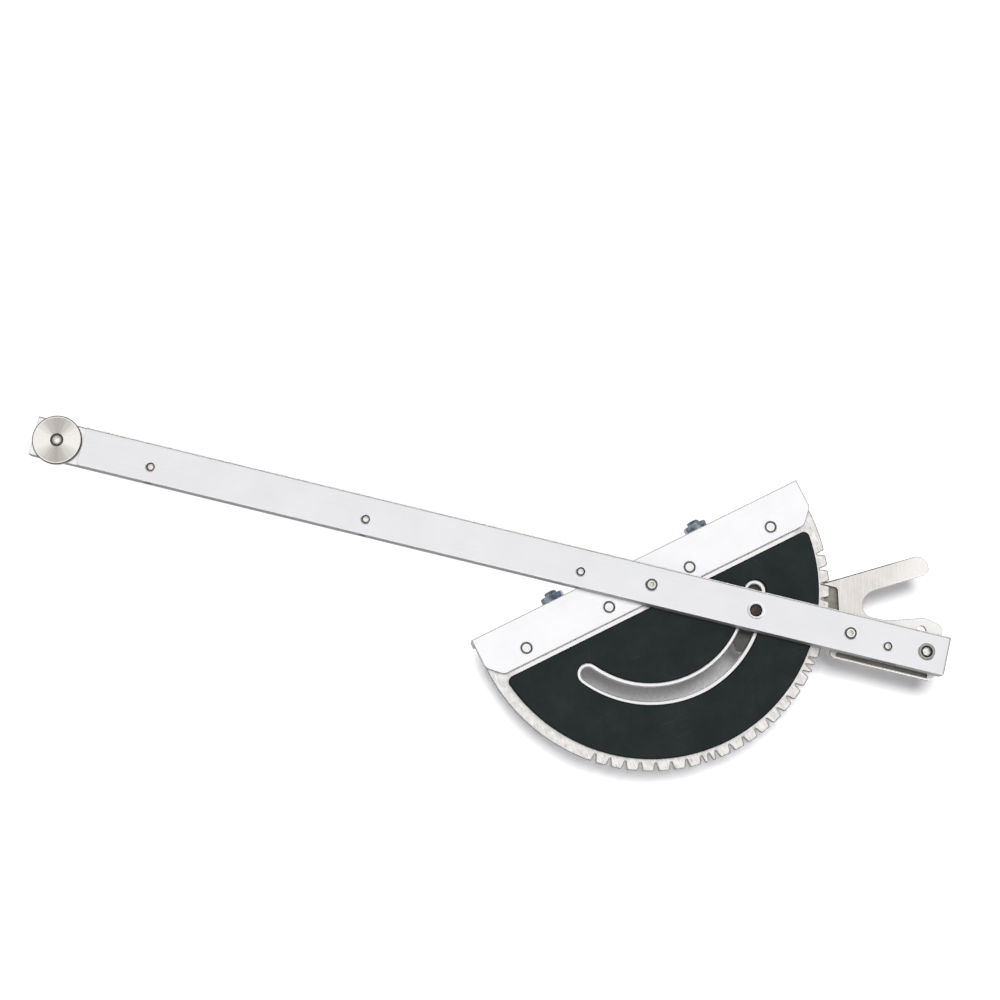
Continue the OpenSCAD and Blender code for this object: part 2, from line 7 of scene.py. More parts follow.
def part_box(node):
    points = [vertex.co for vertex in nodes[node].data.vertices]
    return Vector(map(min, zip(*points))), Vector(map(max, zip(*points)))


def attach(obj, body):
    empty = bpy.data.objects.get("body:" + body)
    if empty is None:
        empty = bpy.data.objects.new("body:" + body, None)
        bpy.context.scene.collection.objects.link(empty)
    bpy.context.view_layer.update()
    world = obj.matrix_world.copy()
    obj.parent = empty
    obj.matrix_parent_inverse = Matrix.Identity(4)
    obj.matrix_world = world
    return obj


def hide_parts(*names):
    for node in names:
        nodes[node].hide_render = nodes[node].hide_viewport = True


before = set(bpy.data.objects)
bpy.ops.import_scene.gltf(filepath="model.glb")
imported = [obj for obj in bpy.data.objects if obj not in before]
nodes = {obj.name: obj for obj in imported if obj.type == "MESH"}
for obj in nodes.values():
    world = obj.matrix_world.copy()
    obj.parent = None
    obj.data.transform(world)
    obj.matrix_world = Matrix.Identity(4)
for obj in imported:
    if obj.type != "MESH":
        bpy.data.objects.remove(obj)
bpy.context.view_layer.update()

scene = bpy.context.scene
mm = 0.001
storedStop = 50  # degrees, the stop at which the head is drawn
headPlace = Matrix.Rotation(math.radians(storedStop), 4, "Z")
print("frame loaded:", len(nodes), "nodes")

# The photograph looks up at the underside of the gauge
cameraSetup = {
    "place": (-0.08267, 0.14556, -0.97009),
    "right": (0.97166, -0.23258, -0.04209),
    "up": (-0.23636, -0.95714, -0.16741),
    "lens": 72.0,
    "sensor": 36.0,
}


def makeCamera(setup):
    data = bpy.data.cameras.new("camera")
    data.lens = setup["lens"]
    data.sensor_width = setup["sensor"]
    data.sensor_fit = "HORIZONTAL"
    data.clip_start = 0.01
    data.clip_end = 20
    camera = bpy.data.objects.new("camera", data)
    scene.collection.objects.link(camera)
    right = Vector(setup["right"]).normalized()
    up = Vector(setup["up"])
    up = (up - right * up.dot(right)).normalized()
    turn = Matrix((right, up, right.cross(up))).transposed().to_4x4()
    camera.matrix_world = Matrix.Translation(setup["place"]) @ turn
    scene.camera = camera
    return camera


makeCamera(cameraSetup)
scene.view_settings.view_transform = "Standard"
print("camera placed")


# Helpers that build the node trees of the finishes
def tint(code):
    # colours are written as on a screen, and the shader takes linear light
    parts = [int(code[i:i + 2], 16) / 255 for i in (1, 3, 5)]
    return tuple(p / 12.92 if p <= 0.04045 else ((p + 0.055) / 1.055) ** 2.4 for p in parts)


def newMaterial(name):
    material = bpy.data.materials.new(name)
    material.use_nodes = True
    tree = material.node_tree
    tree.nodes.clear()
    output = tree.nodes.new("ShaderNodeOutputMaterial")
    shader = tree.nodes.new("ShaderNodeBsdfPrincipled")
    tree.links.new(shader.outputs[0], output.inputs[0])
    return material, tree, shader


def addNode(tree, kind, **settings):
    node = tree.nodes.new(kind)
    for key, value in settings.items():
        if key in node.inputs:
            node.inputs[key].default_value = value
        else:
            setattr(node, key, value)
    return node


def feed(tree, socket, value):
    if isinstance(value, bpy.types.NodeSocket):
        tree.links.new(value, socket)
    elif isinstance(value, tuple) and len(value) == 3 and socket.type == "RGBA":
        socket.default_value = (*value, 1)
    else:
        socket.default_value = value


def work(tree, operation, first, second=0.0, clamp=False):
    node = addNode(tree, "ShaderNodeMath", operation=operation, use_clamp=clamp)
    feed(tree, node.inputs[0], first)
    feed(tree, node.inputs[1], second)
    return node.outputs[0]


def vectorWork(tree, operation, first, second=(0, 0, 0)):
    node = addNode(tree, "ShaderNodeVectorMath", operation=operation)
    feed(tree, node.inputs[0], first)
    feed(tree, node.inputs[1], second)
    return node.outputs["Value"] if operation in ("LENGTH", "DOT_PRODUCT") else node.outputs[0]


def blendTone(tree, factor, first, second):
    node = addNode(tree, "ShaderNodeMix", data_type="RGBA")
    feed(tree, node.inputs[0], factor)
    feed(tree, node.inputs[6], first)
    feed(tree, node.inputs[7], second)
    return node.outputs[2]


def mixShaders(tree, factor, first, second):
    node = addNode(tree, "ShaderNodeMixShader")
    for socket, value in zip(node.inputs, (factor, first, second)):
        tree.links.new(value, socket)
    return node.outputs[0]


def split(tree, vector):
    node = addNode(tree, "ShaderNodeSeparateXYZ")
    tree.links.new(vector, node.inputs[0])
    return node.outputs


def fade(tree, source, start, full, low=0.0, high=1.0, kind="LINEAR"):
    # low before the start, high past full
    node = addNode(tree, "ShaderNodeMapRange", interpolation_type=kind)
    for socket, value in zip(node.inputs, (source, start, full, low, high)):
        feed(tree, socket, value)
    return node.outputs[0]


def ramp(tree, source, stops):
    node = addNode(tree, "ShaderNodeValToRGB")
    band = node.color_ramp
    while len(band.elements) < len(stops):
        band.elements.new(0.5)
    for element, (place, value) in zip(band.elements, stops):
        element.position = place
        element.color = (*value, 1) if isinstance(value, tuple) else (value, value, value, 1)
    tree.links.new(source, node.inputs[0])
    return node.outputs[0]


def pattern(tree, stretch=(1, 1, 1), turn=0.0, centre=(0, 0, 0)):
    # object coordinates about a centre, turned in degrees about Z and stretched
    place = addNode(tree, "ShaderNodeTexCoord")
    mapping = addNode(tree, "ShaderNodeMapping", vector_type="TEXTURE")
    mapping.inputs["Location"].default_value = centre
    mapping.inputs["Rotation"].default_value = (0, 0, math.radians(turn))
    mapping.inputs["Scale"].default_value = [1 / s for s in stretch]
    tree.links.new(place.outputs["Object"], mapping.inputs["Vector"])
    return mapping.outputs[0]


def speckle(tree, vector, scale, detail=3.0, roughness=0.55):
    node = addNode(tree, "ShaderNodeTexNoise", Scale=scale, Detail=detail, Roughness=roughness)
    tree.links.new(vector, node.inputs["Vector"])
    return node.outputs[0]


def levelness(tree):
    # 1 on faces that look up or down, 0 on walls
    place = addNode(tree, "ShaderNodeTexCoord")
    return work(tree, "ABSOLUTE", split(tree, place.outputs["Normal"])[2])


def wallMask(tree):
    return fade(tree, levelness(tree), 0.4, 0.6, 1.0, 0.0)


def roundEdge(tree, width):
    return addNode(tree, "ShaderNodeBevel", samples=6, Radius=width * mm).outputs[0]


def edgeMask(tree, rounded, gain):
    # grows from 0 on a flat to 1 on a sharp edge
    flat = addNode(tree, "ShaderNodeNewGeometry")
    along = vectorWork(tree, "DOT_PRODUCT", rounded, flat.outputs["True Normal"])
    return work(tree, "MULTIPLY", work(tree, "SUBTRACT", 1.0, along), gain, clamp=True)


def relief(tree, shader, height, depth, strength, under=None):
    bump = addNode(tree, "ShaderNodeBump", Distance=depth * mm, Strength=strength)
    tree.links.new(height, bump.inputs["Height"])
    if under:
        tree.links.new(under, bump.inputs["Normal"])
    tree.links.new(bump.outputs[0], shader.inputs["Normal"])


def spread(tree, source, middle, width):
    # roughness that varies with a pattern
    low, high = middle - width, middle + width
    return ramp(tree, source, ((0.3, low), (0.7, high)))


# Milled and brushed flat metal: bar, bracket, plate, lever and pointer. Lengths are in millimetres. The edge
# tones are painted: "edge" is the tone of edges that lean to the lamps, a painted highlight on the bar, lever
# and pointer and a painted dark outline on the bracket and plate, and the next tone is the painted shade of
# those that lean away.
barLook = {
    "light": "#e8e8ea", "dark": "#e2e2e5", "wall": "#a3a3a5", "wallEdgeShade": "#7d7d7f", "slopeHighlight": "#ffffff",
    "recess": {"tone": "#f6f4f5", "depth": 0.3},
    "edge": "#f2f2f3", "shadedEdge": "#5e5e60", "edgeShare": 1.0, "round": 1.25, "gain": 40.0,
    "grain": (40, 2600), "turn": 0, "grainShare": 0.45, "cloud": 45,
    "metal": 0.15, "rough": 0.46, "roughSpread": 0.05, "relief": 0.12,
}
bracketLook = {
    "light": "#f8f8fa", "dark": "#f3f3f5", "wall": "#dfdfe1", "wallEdgeShade": "#a6a6a8",
    "edge": "#343436", "shadedEdge": "#858587", "edgeShare": 1.0, "edgeTop": 2.0, "round": 0.9, "gain": 30.0,
    "grain": (60, 1500), "turn": storedStop + 90, "grainShare": 0.3, "cloud": 60,
    "metal": 0.1, "rough": 0.5, "roughSpread": 0.05, "relief": 0.1,
}
plateLook = {
    "light": "#f6f4f2", "dark": "#d0cdc9", "wall": "#6a655f", "wallEdgeShade": "#3a3632",
    "paintedSheen": {"tone": "#fbfaf9", "radius": (76, 80), "topLevel": 5.0, "topShare": 0.75},
    "edge": "#1d1b19", "shadedEdge": "#1d1b19", "edgeShare": 1.0, "edgeTop": 5.0, "round": 0.85, "gain": 30.0,
    "grain": (300, 1900), "turn": storedStop, "grainShare": 0.5, "cloud": 330,
    "metal": 0.7, "rough": 0.34, "roughSpread": 0.07, "relief": 0.15,
}
leverLook = {
    "light": "#eae6e1", "dark": "#dad5d0", "wall": "#66615b", "wallEdgeShade": "#3f3b36",
    "pale": {"tone": "#f8f6f4", "start": 112, "full": 128, "share": 0.8},
    "edge": "#f8f6f3", "shadedEdge": "#4a453f", "edgeShare": 0.95, "round": 0.15, "gain": 4.0,
    "grain": (90, 1500), "turn": 78, "grainShare": 0.6, "cloud": 120,
    "metal": 0.8, "rough": 0.32, "roughSpread": 0.08, "relief": 0.2,
}
# the pointer's tones are kept dark as painted shade
pointerShadedLook = {
    "light": "#9c9990", "dark": "#827f76", "wall": "#66625a", "wallEdgeShade": "#57524c",
    "edge": "#d3cec7", "shadedEdge": "#7d7871", "edgeShare": 0.8, "round": 0.15, "gain": 4.0,
    "grain": (80, 1700), "turn": 0, "grainShare": 0.6, "cloud": 160,
    "metal": 0.6, "rough": 0.38, "roughSpread": 0.08, "relief": 0.2,
}

awayFromLamps = (0.45, -0.9, 0)


def flatMetal(name, look):
    material, tree, shader = newMaterial(name)
    along, across = look["grain"]
    grain = speckle(tree, pattern(tree, (along, across, across), look["turn"]), 1.0)
    cloud = speckle(tree, pattern(tree), look["cloud"])
    share = look["grainShare"]
    tone = work(tree, "ADD", work(tree, "MULTIPLY", grain, share), work(tree, "MULTIPLY", cloud, 1 - share))
    colour = ramp(tree, tone, ((0.36, tint(look["dark"])), (0.62, tint(look["light"]))))
    place = split(tree, pattern(tree))
    if "recess" in look:
        recess = look["recess"]
        raised = work(tree, "GREATER_THAN", place[2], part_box("miter_bar")[0].z + recess["depth"] * mm)
        colour = blendTone(tree, raised, colour, tint(recess["tone"]))
    metal = look["metal"]
    # painted white and less metallic inside a radius as a highlight, and three quarters so on the top face
    if "paintedSheen" in look:
        paintedSheen = look["paintedSheen"]
        near, far = paintedSheen["radius"]
        inner = fade(tree, vectorWork(tree, "LENGTH", pattern(tree)), near * mm, far * mm, 1.0, 0.0)
        upper = work(tree, "GREATER_THAN", place[2], paintedSheen["topLevel"] * mm)
        inner = work(tree, "MAXIMUM", inner, work(tree, "MULTIPLY", upper, paintedSheen["topShare"]))
        colour = blendTone(tree, inner, colour, tint(paintedSheen["tone"]))
        metal = work(tree, "MULTIPLY", work(tree, "SUBTRACT", 1.0, inner), metal)
    if "pale" in look:
        pale = look["pale"]
        end = fade(tree, place[0], pale["start"] * mm, pale["full"] * mm, 0.0, pale["share"])
        colour = blendTone(tree, end, colour, tint(pale["tone"]))
    # painted highlight and painted shade on the edges, chosen by how the rounded normal leans to or away from
    # the lamps
    rounded = roundEdge(tree, look["round"])
    upright = work(tree, "ABSOLUTE", split(tree, rounded)[2])
    edge = work(tree, "MULTIPLY", work(tree, "SUBTRACT", 1.0, upright), look["gain"], clamp=True)
    if "edgeTop" in look:
        edge = work(tree, "MULTIPLY", edge, work(tree, "LESS_THAN", place[2], look["edgeTop"] * mm))
    away = fade(tree, vectorWork(tree, "DOT_PRODUCT", rounded, awayFromLamps), 0.0, 0.12)
    edgeLightShade = blendTone(tree, away, tint(look["edge"]), tint(look["shadedEdge"]))
    colour = blendTone(tree, work(tree, "MULTIPLY", edge, look["edgeShare"]), colour, edgeLightShade)
    if "slopeHighlight" in look:
        # faces at about 45 degrees, the countersink and the chamfers, painted white as a highlight
        sloped = ramp(tree, levelness(tree), ((0.62, 0.0), (0.66, 1.0), (0.76, 1.0), (0.8, 0.0)))
        colour = blendTone(tree, sloped, colour, tint(look["slopeHighlight"]))
    # walls painted darker as shade, darkest where they round into an edge
    wallShade = blendTone(tree, fade(tree, upright, 0.1, 0.5), tint(look["wall"]), tint(look["wallEdgeShade"]))
    colour = blendTone(tree, wallMask(tree), colour, wallShade)
    feed(tree, shader.inputs["Base Color"], colour)
    feed(tree, shader.inputs["Roughness"], spread(tree, grain, look["rough"], look["roughSpread"]))
    feed(tree, shader.inputs["Metallic"], work(tree, "MULTIPLY", work(tree, "SUBTRACT", 1.0, edge), metal))
    relief(tree, shader, grain, 0.02, look["relief"], rounded)
    return material


# Turned steel: rings about the piece's centre, with light and dark wedges painted across it as highlight and
# shade
discLook = {
    "light": "#f2efeb", "middle": "#d9d5d0", "dark": "#b3aea7", "wall": "#8a857f",
    "sheenWedge": 13, "rings": 5200, "streaks": 5.0, "round": 0.3, "metal": 0.75, "rough": 0.3, "turned": 0.6,
    # a painted highlight ring and a painted shadow ring at the disc's rim
    "rim": {"bright": (10.9, 11.2, "#f1efec"), "dark": (11.4, 11.6, "#57524d")},
}
capLook = {
    "light": "#dcdbd8", "middle": "#c5c3c0", "dark": "#a9a6a2", "wall": "#a3a09c", "edge": "#efeeec",
    "sheenWedge": 60, "rings": 4200, "streaks": 4.0, "round": 0.35, "metal": 0.8, "rough": 0.3, "turned": 0.5,
}
washerLook = {
    "light": "#6f6c68", "middle": "#5c5955", "dark": "#4a4743", "wall": "#55524e", "edge": "#8a8782",
    "sheenWedge": 60, "rings": 4200, "streaks": 4.0, "round": 0.35, "metal": 0.8, "rough": 0.34, "turned": 0.5,
}


def turnedMetal(name, centre, look):
    material, tree, shader = newMaterial(name)
    place = vectorWork(tree, "MULTIPLY", pattern(tree, centre=(centre.x, centre.y, 0)), (1, 1, 0))
    distance = vectorWork(tree, "LENGTH", place)
    outward = vectorWork(tree, "NORMALIZE", place)
    # painted highlight along the wedge's axis, painted shade across it
    axis = math.radians(look["sheenWedge"])
    lean = vectorWork(tree, "DOT_PRODUCT", outward, (math.cos(axis), -math.sin(axis), 0))
    sheenWedge = work(tree, "MULTIPLY", lean, lean)  # 1 along the wedge's axis, 0 across it
    streak = speckle(tree, outward, look["streaks"], 5.0, 0.7)
    mixed = work(tree, "ADD", work(tree, "MULTIPLY", sheenWedge, 0.55), work(tree, "MULTIPLY", streak, 0.45))
    stops = ((0.2, tint(look["dark"])), (0.48, tint(look["middle"])), (0.72, tint(look["light"])))
    colour = ramp(tree, mixed, stops)
    # walls painted darker, as shade
    colour = blendTone(tree, wallMask(tree), colour, tint(look["wall"]))
    rounded = roundEdge(tree, look["round"])
    if "rim" in look:
        # the rim's rings: painted highlight and painted shadow
        for start, full, code in look["rim"].values():
            colour = blendTone(tree, fade(tree, distance, start * mm, full * mm), colour, tint(code))
    else:
        # other pieces get lighter edges, a painted highlight
        colour = blendTone(tree, edgeMask(tree, rounded, 2.0), colour, tint(look["edge"]))
    feed(tree, shader.inputs["Base Color"], colour)
    shader.inputs["Metallic"].default_value = look["metal"]
    shader.inputs["Anisotropic"].default_value = look["turned"]
    ring = addNode(tree, "ShaderNodeTexNoise", noise_dimensions="1D", Scale=look["rings"], Detail=2.0)
    tree.links.new(distance, ring.inputs["W"])
    feed(tree, shader.inputs["Roughness"], spread(tree, ring.outputs[0], look["rough"], 0.06))
    around = vectorWork(tree, "CROSS_PRODUCT", (0, 0, 1), outward)
    tree.links.new(around, shader.inputs["Tangent"])
    relief(tree, shader, ring.outputs[0], 0.01, 0.12, rounded)
    return material


# Screw heads seen from below: rings of tone from the centre to the rim, the dark rings painted shade and the
# bright ones painted highlight, socket walls and the socket's floor, painted bright as a highlight
socketDepth = 1.3
pivotLook = {
    "rings": ((0.0, "#f6f5f3"), (0.66, "#efedeb"), (0.76, "#65615d"), (1.0, "#5b5753")),
    "wall": "#b5b2ae", "floor": ("#f2f1ef", "#bdb9b5"), "metal": 0.55, "rough": 0.36,
}
leverScrewLook = {
    "rings": ((0.0, "#f8f7f5"), (0.7, "#f0eeec"), (0.8, "#4b4642"), (1.0, "#3b3632")),
    "wall": "#c9c6c2", "floor": ("#f6f5f3", "#cfccc9"), "metal": 0.5, "rough": 0.36,
}
stopScrewLook = {
    "rings": ((0.0, "#0f0e0d"), (0.72, "#0f0e0d"), (0.8, "#97938f"), (0.92, "#c4c1be"), (1.0, "#a09c98")),
    "wall": "#1d1b1a", "floor": ("#ffffff", "#d9d6d3"), "metal": 0.5, "rough": 0.36,
}
discScrewLook = {
    "rings": ((0.0, "#a09a93"), (0.6, "#a9a39c"), (0.74, "#57514b"), (1.0, "#3a342f")),
    "wall": "#e6e2dd", "floor": ("#ffffff", "#f1efec"), "metal": 0.5, "rough": 0.34,
}
setScrewLook = {
    "rings": ((0.0, "#f4f2ee"), (0.62, "#ded9d3"), (0.76, "#4c4741"), (1.0, "#4a443f")),
    "wall": "#f0ece7", "floor": ("#ffffff", "#f4f2ef"), "metal": 0.5, "rough": 0.34,
}
studLook = {
    "rings": ((0.0, "#302f28"), (0.6, "#2a2923"), (0.9, "#1b1a17"), (1.0, "#11100f")),
    "wall": "#1d1b19", "floor": ("#2a2923", "#2a2923"), "metal": 0.3, "rough": 0.5, "rust": "#5d4130",
}


def screwHead(name, node, look):
    material, tree, shader = newMaterial(name)
    low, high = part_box(node)
    middle = (low + high) / 2
    reach = (high.x - low.x) / 2
    place = vectorWork(tree, "MULTIPLY", pattern(tree, centre=(middle.x, middle.y, 0)), (1, 1, 0))
    distance = work(tree, "DIVIDE", vectorWork(tree, "LENGTH", place), reach)
    mottle = speckle(tree, pattern(tree), 1600, 3.0, 0.65)
    # the rings are painted: dark ones as shade, bright ones as highlight
    colour = ramp(tree, distance, tuple((at, tint(code)) for at, code in look["rings"]))
    colour = blendTone(tree, wallMask(tree), colour, tint(look["wall"]))
    deep = work(tree, "GREATER_THAN", split(tree, pattern(tree))[2], low.z + socketDepth * mm)
    # the socket's floor gets a painted highlight
    bright, dull = look["floor"]
    floorHighlight = ramp(tree, mottle, ((0.35, tint(dull)), (0.6, tint(bright))))
    flat = work(tree, "SUBTRACT", 1.0, wallMask(tree))
    colour = blendTone(tree, work(tree, "MULTIPLY", deep, flat), colour, floorHighlight)
    if "rust" in look:
        patch = ramp(tree, speckle(tree, pattern(tree), 420, 2.0), ((0.5, 0.0), (0.62, 0.8)))
        colour = blendTone(tree, patch, colour, tint(look["rust"]))
    feed(tree, shader.inputs["Base Color"], colour)
    feed(tree, shader.inputs["Roughness"], spread(tree, mottle, look["rough"], 0.06))
    bare = work(tree, "MULTIPLY", work(tree, "MULTIPLY", deep, flat), 1 - look["metal"])
    feed(tree, shader.inputs["Metallic"], work(tree, "ADD", bare, look["metal"]))
    relief(tree, shader, mottle, 0.02, 0.15, roundEdge(tree, 0.15))
    return material


# Rivets: white faces with a thin dark rim of painted shade, two pairs either side of the pivot
rivetLook = {
    "face": ("#f8f7f6", "#dcdad8"), "rim": "#4e4b49", "wall": "#5f5c59", "places": (22.3, 67.6),
    "rimStart": 1.95, "rimFull": 2.15, "metal": 0.2, "rough": 0.4,
}


def rivetFinish(name, look):
    material, tree, shader = newMaterial(name)
    axes = split(tree, pattern(tree, turn=storedStop))
    side = work(tree, "ABSOLUTE", axes[1])
    near, far = (work(tree, "ABSOLUTE", work(tree, "SUBTRACT", side, place * mm)) for place in look["places"])
    across = work(tree, "MINIMUM", near, far)
    square = work(tree, "ADD", work(tree, "POWER", axes[0], 2.0), work(tree, "POWER", across, 2.0))
    distance = work(tree, "SQRT", square)
    mottle = speckle(tree, pattern(tree), 1500, 3.0, 0.6)
    bright, dull = look["face"]
    colour = ramp(tree, mottle, ((0.35, tint(dull)), (0.55, tint(bright))))
    # a painted shade ring round each head, and walls painted dark
    rim = fade(tree, distance, look["rimStart"] * mm, look["rimFull"] * mm)
    colour = blendTone(tree, rim, colour, tint(look["rim"]))
    colour = blendTone(tree, wallMask(tree), colour, tint(look["wall"]))
    feed(tree, shader.inputs["Base Color"], colour)
    feed(tree, shader.inputs["Roughness"], spread(tree, mottle, look["rough"], 0.06))
    shader.inputs["Metallic"].default_value = look["metal"]
    relief(tree, shader, mottle, 0.02, 0.12, roundEdge(tree, 0.25))
    return material


# Plated hardware: bolts, washers and nuts, bluish with a blotchy coat, with edges painted light as a
# highlight
zincLook = {
    "light": "#9aa5ad", "dark": "#2f3a42", "blue": "#2f4a6b", "edge": "#f2f5f7", "blotch": 260,
    "round": 0.35, "metal": 0.95, "rough": 0.24,
}
springLook = {
    "light": "#a9a7a4", "dark": "#6f6c69", "blue": "#77716a", "edge": "#c9c7c4", "blotch": 900,
    "round": 0.1, "metal": 0.95, "rough": 0.28,
}
brassLook = {
    "light": "#d9b76a", "dark": "#a9823c", "blue": "#8d7038", "edge": "#eed08a", "blotch": 500,
    "round": 0.3, "metal": 0.95, "rough": 0.3,
}
postLook = {
    "light": "#cfccc8", "dark": "#8f8b86", "blue": "#77736e", "edge": "#f1efec", "blotch": 700,
    "round": 0.4, "metal": 0.85, "rough": 0.3,
}


def platedMetal(name, look):
    material, tree, shader = newMaterial(name)
    blotch = speckle(tree, pattern(tree), look["blotch"], 3.0, 0.6)
    tarnish = speckle(tree, pattern(tree), look["blotch"] / 3, 2.0)
    colour = ramp(tree, blotch, ((0.32, tint(look["dark"])), (0.66, tint(look["light"]))))
    stain = ramp(tree, tarnish, ((0.45, 0.0), (0.7, 0.6)))
    colour = blendTone(tree, stain, colour, tint(look["blue"]))
    rounded = roundEdge(tree, look["round"])
    # edges painted lighter, as a highlight
    colour = blendTone(tree, edgeMask(tree, rounded, 2.5), colour, tint(look["edge"]))
    feed(tree, shader.inputs["Base Color"], colour)
    feed(tree, shader.inputs["Roughness"], spread(tree, blotch, look["rough"], 0.07))
    shader.inputs["Metallic"].default_value = look["metal"]
    relief(tree, shader, blotch, 0.02, 0.15, rounded)
    return material


# Dark plastics: the pad with its scuffs, the plugs and the knob with its fine grain
# the pad's walls and edges are near black, a painted shade
padLook = {
    "light": "#2a2f30", "dark": "#202526", "wall": "#060606", "edge": "#060707", "round": 1.0, "gain": 50.0,
    "cloud": 55, "grain": 1800, "relief": 0.2, "scuff": "#4d5454", "scuffShare": 0.5,
    "rough": 0.72, "gloss": 0.12,
}
plugLook = {
    "light": "#232323", "dark": "#171717", "wall": "#1c1c1c", "edge": "#2e2e2e", "round": 0.2, "gain": 1.2,
    "cloud": 300, "grain": 2600, "relief": 0.2, "scuff": "#3a3a3a", "scuffShare": 0.2,
    "rough": 0.55, "gloss": 0.2,
}
knobLook = {
    "light": "#5a5b58", "dark": "#4b4c49", "wall": "#464744", "edge": "#6f706c", "round": 0.5, "gain": 1.2,
    "cloud": 160, "grain": 3000, "relief": 0.4, "scuff": "#7a7b77", "scuffShare": 0.15,
    "rough": 0.46, "gloss": 0.3,
}
scuffLines = ((25, (22, 1500, 22)), (-38, (30, 1100, 30)), (70, (26, 1300, 26)))  # turn and stretch of each


def darkPlastic(name, look):
    material, tree, shader = newMaterial(name)
    cloud = speckle(tree, pattern(tree), look["cloud"], 4.0, 0.6)
    grain = speckle(tree, pattern(tree), look["grain"], 2.0)
    colour = ramp(tree, cloud, ((0.35, tint(look["dark"])), (0.65, tint(look["light"]))))
    colour = blendTone(tree, wallMask(tree), colour, tint(look["wall"]))
    rounded = roundEdge(tree, look["round"])
    colour = blendTone(tree, edgeMask(tree, rounded, look["gain"]), colour, tint(look["edge"]))
    scuffs = 0.0
    for turn, stretch in scuffLines:
        line = speckle(tree, pattern(tree, stretch, turn), 1.0, 2.0)
        line = ramp(tree, line, ((0.66, 0.0), (0.74, 1.0)))
        scuffs = work(tree, "MAXIMUM", line, scuffs)
    scuffs = work(tree, "MULTIPLY", scuffs, ramp(tree, cloud, ((0.45, 0.0), (0.7, look["scuffShare"]))))
    colour = blendTone(tree, scuffs, colour, tint(look["scuff"]))
    feed(tree, shader.inputs["Base Color"], colour)
    feed(tree, shader.inputs["Roughness"], spread(tree, cloud, look["rough"], 0.06))
    shader.inputs["Specular IOR Level"].default_value = look["gloss"]
    relief(tree, shader, grain, 0.03, look["relief"], rounded)
    return material


# Paint of the printed scale, worn thin in places
paintLook = {"full": "#17181a", "thin": "#3c3e41", "patch": 700, "rough": 0.55}


def scalePaint(name, look):
    material, tree, shader = newMaterial(name)
    wear = speckle(tree, pattern(tree), look["patch"], 3.0)
    colour = ramp(tree, wear, ((0.45, tint(look["full"])), (0.7, tint(look["thin"]))))
    feed(tree, shader.inputs["Base Color"], colour)
    feed(tree, shader.inputs["Roughness"], spread(tree, wear, look["rough"], 0.08))
    relief(tree, shader, wear, 0.01, 0.1)
    return material


def centreOf(node):
    low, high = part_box(node)
    return (low + high) / 2


zinc = platedMetal("zinc", zincLook)
steelPost = platedMetal("steelPost", postLook)
brass = platedMetal("brass", brassLook)
plug = darkPlastic("plug", plugLook)
finishes = {
    "miter_bar": flatMetal("bar", barLook),
    "fence_bracket": flatMetal("bracket", bracketLook),
    "protractor_plate": flatMetal("plate", plateLook),
    "index_lever": flatMetal("lever", leverLook),
    "pointer_plate": flatMetal("pointer", pointerShadedLook),
    "slot_disc": turnedMetal("disc", centreOf("slot_disc"), discLook),
    "pivot_cap": turnedMetal("cap", centreOf("pivot_cap"), capLook),
    "clamp_washer": turnedMetal("washer", centreOf("clamp_washer"), washerLook),
    "disc_screw": screwHead("discScrew", "disc_screw", discScrewLook),
    "pivot_screw": screwHead("pivotScrew", "pivot_screw", pivotLook),
    "lever_screw": screwHead("leverScrew", "lever_screw", leverScrewLook),
    "stop_screw": screwHead("stopScrew", "stop_screw", stopScrewLook),
    "lock_stud": screwHead("stud", "lock_stud", studLook),
    "bracket_rivets": rivetFinish("rivets", rivetLook),
    "slide_pad": darkPlastic("pad", padLook),
    "lock_knob": darkPlastic("knob", knobLook),
    "lever_spring": platedMetal("spring", springLook),
    "side_pad": plug,
    "lever_post": steelPost,
    "stop_post": steelPost,
    "pivot_bush": brass,
    "knob_insert": brass,
}
for number in range(1, 5):
    screw = f"adjuster_screw_{number}"
    finishes[screw] = screwHead(f"setScrew{number}", screw, setScrewLook)
for number in range(1, 4):
    finishes[f"side_plug_{number}"] = plug
for name in ("fence_bolts", "fence_washers", "fence_nuts", "pointer_nuts"):
    finishes[name] = zinc
for name, node in nodes.items():
    node.data.materials.clear()
    node.data.materials.append(finishes[name])
print("finishes set")


# Helpers for new pieces
def makePiece(name, shape, material, body, smooth=True):
    mesh = bpy.data.meshes.new(name)
    bmesh.ops.recalc_face_normals(shape, faces=shape.faces)
    for face in shape.faces:
        face.smooth = smooth
    shape.to_mesh(mesh)
    shape.free()
    mesh.materials.append(material)
    piece = bpy.data.objects.new(name, mesh)
    scene.collection.objects.link(piece)
    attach(piece, body)
    return piece


def meshOf(curve):
    holder = bpy.data.objects.new(curve.name, curve)
    mesh = bpy.data.meshes.new_from_object(holder)
    bpy.data.objects.remove(holder)
    bpy.data.curves.remove(curve)
    return mesh


def polar(radius, angle):
    return Vector((radius * math.cos(math.radians(angle)), radius * math.sin(math.radians(angle))))


def roundedOutline(corners, steps=10):
    # each corner is (x, y, radius)
    points = []
    for before, here, after in zip(corners[-1:] + corners[:-1], corners, corners[1:] + corners[:1]):
        corner = Vector(here[:2])
        if not here[2]:
            points.append(corner)
            continue
        back = (Vector(before[:2]) - corner).normalized()
        ahead = (Vector(after[:2]) - corner).normalized()
        half = back.angle(ahead) / 2
        middle = corner + (back + ahead).normalized() * here[2] / math.sin(half)
        first = corner + back * here[2] / math.tan(half) - middle
        last = corner + ahead * here[2] / math.tan(half) - middle
        start = math.degrees(math.atan2(first.y, first.x))
        sweep = (math.degrees(math.atan2(last.y, last.x)) - start + 180) % 360 - 180
        points += [middle + polar(here[2], start + sweep * step / steps) for step in range(steps + 1)]
    return points


def roundHole(x, y, radius, steps=32):
    return [Vector((x, y)) + polar(radius, -360 * step / steps) for step in range(steps)]


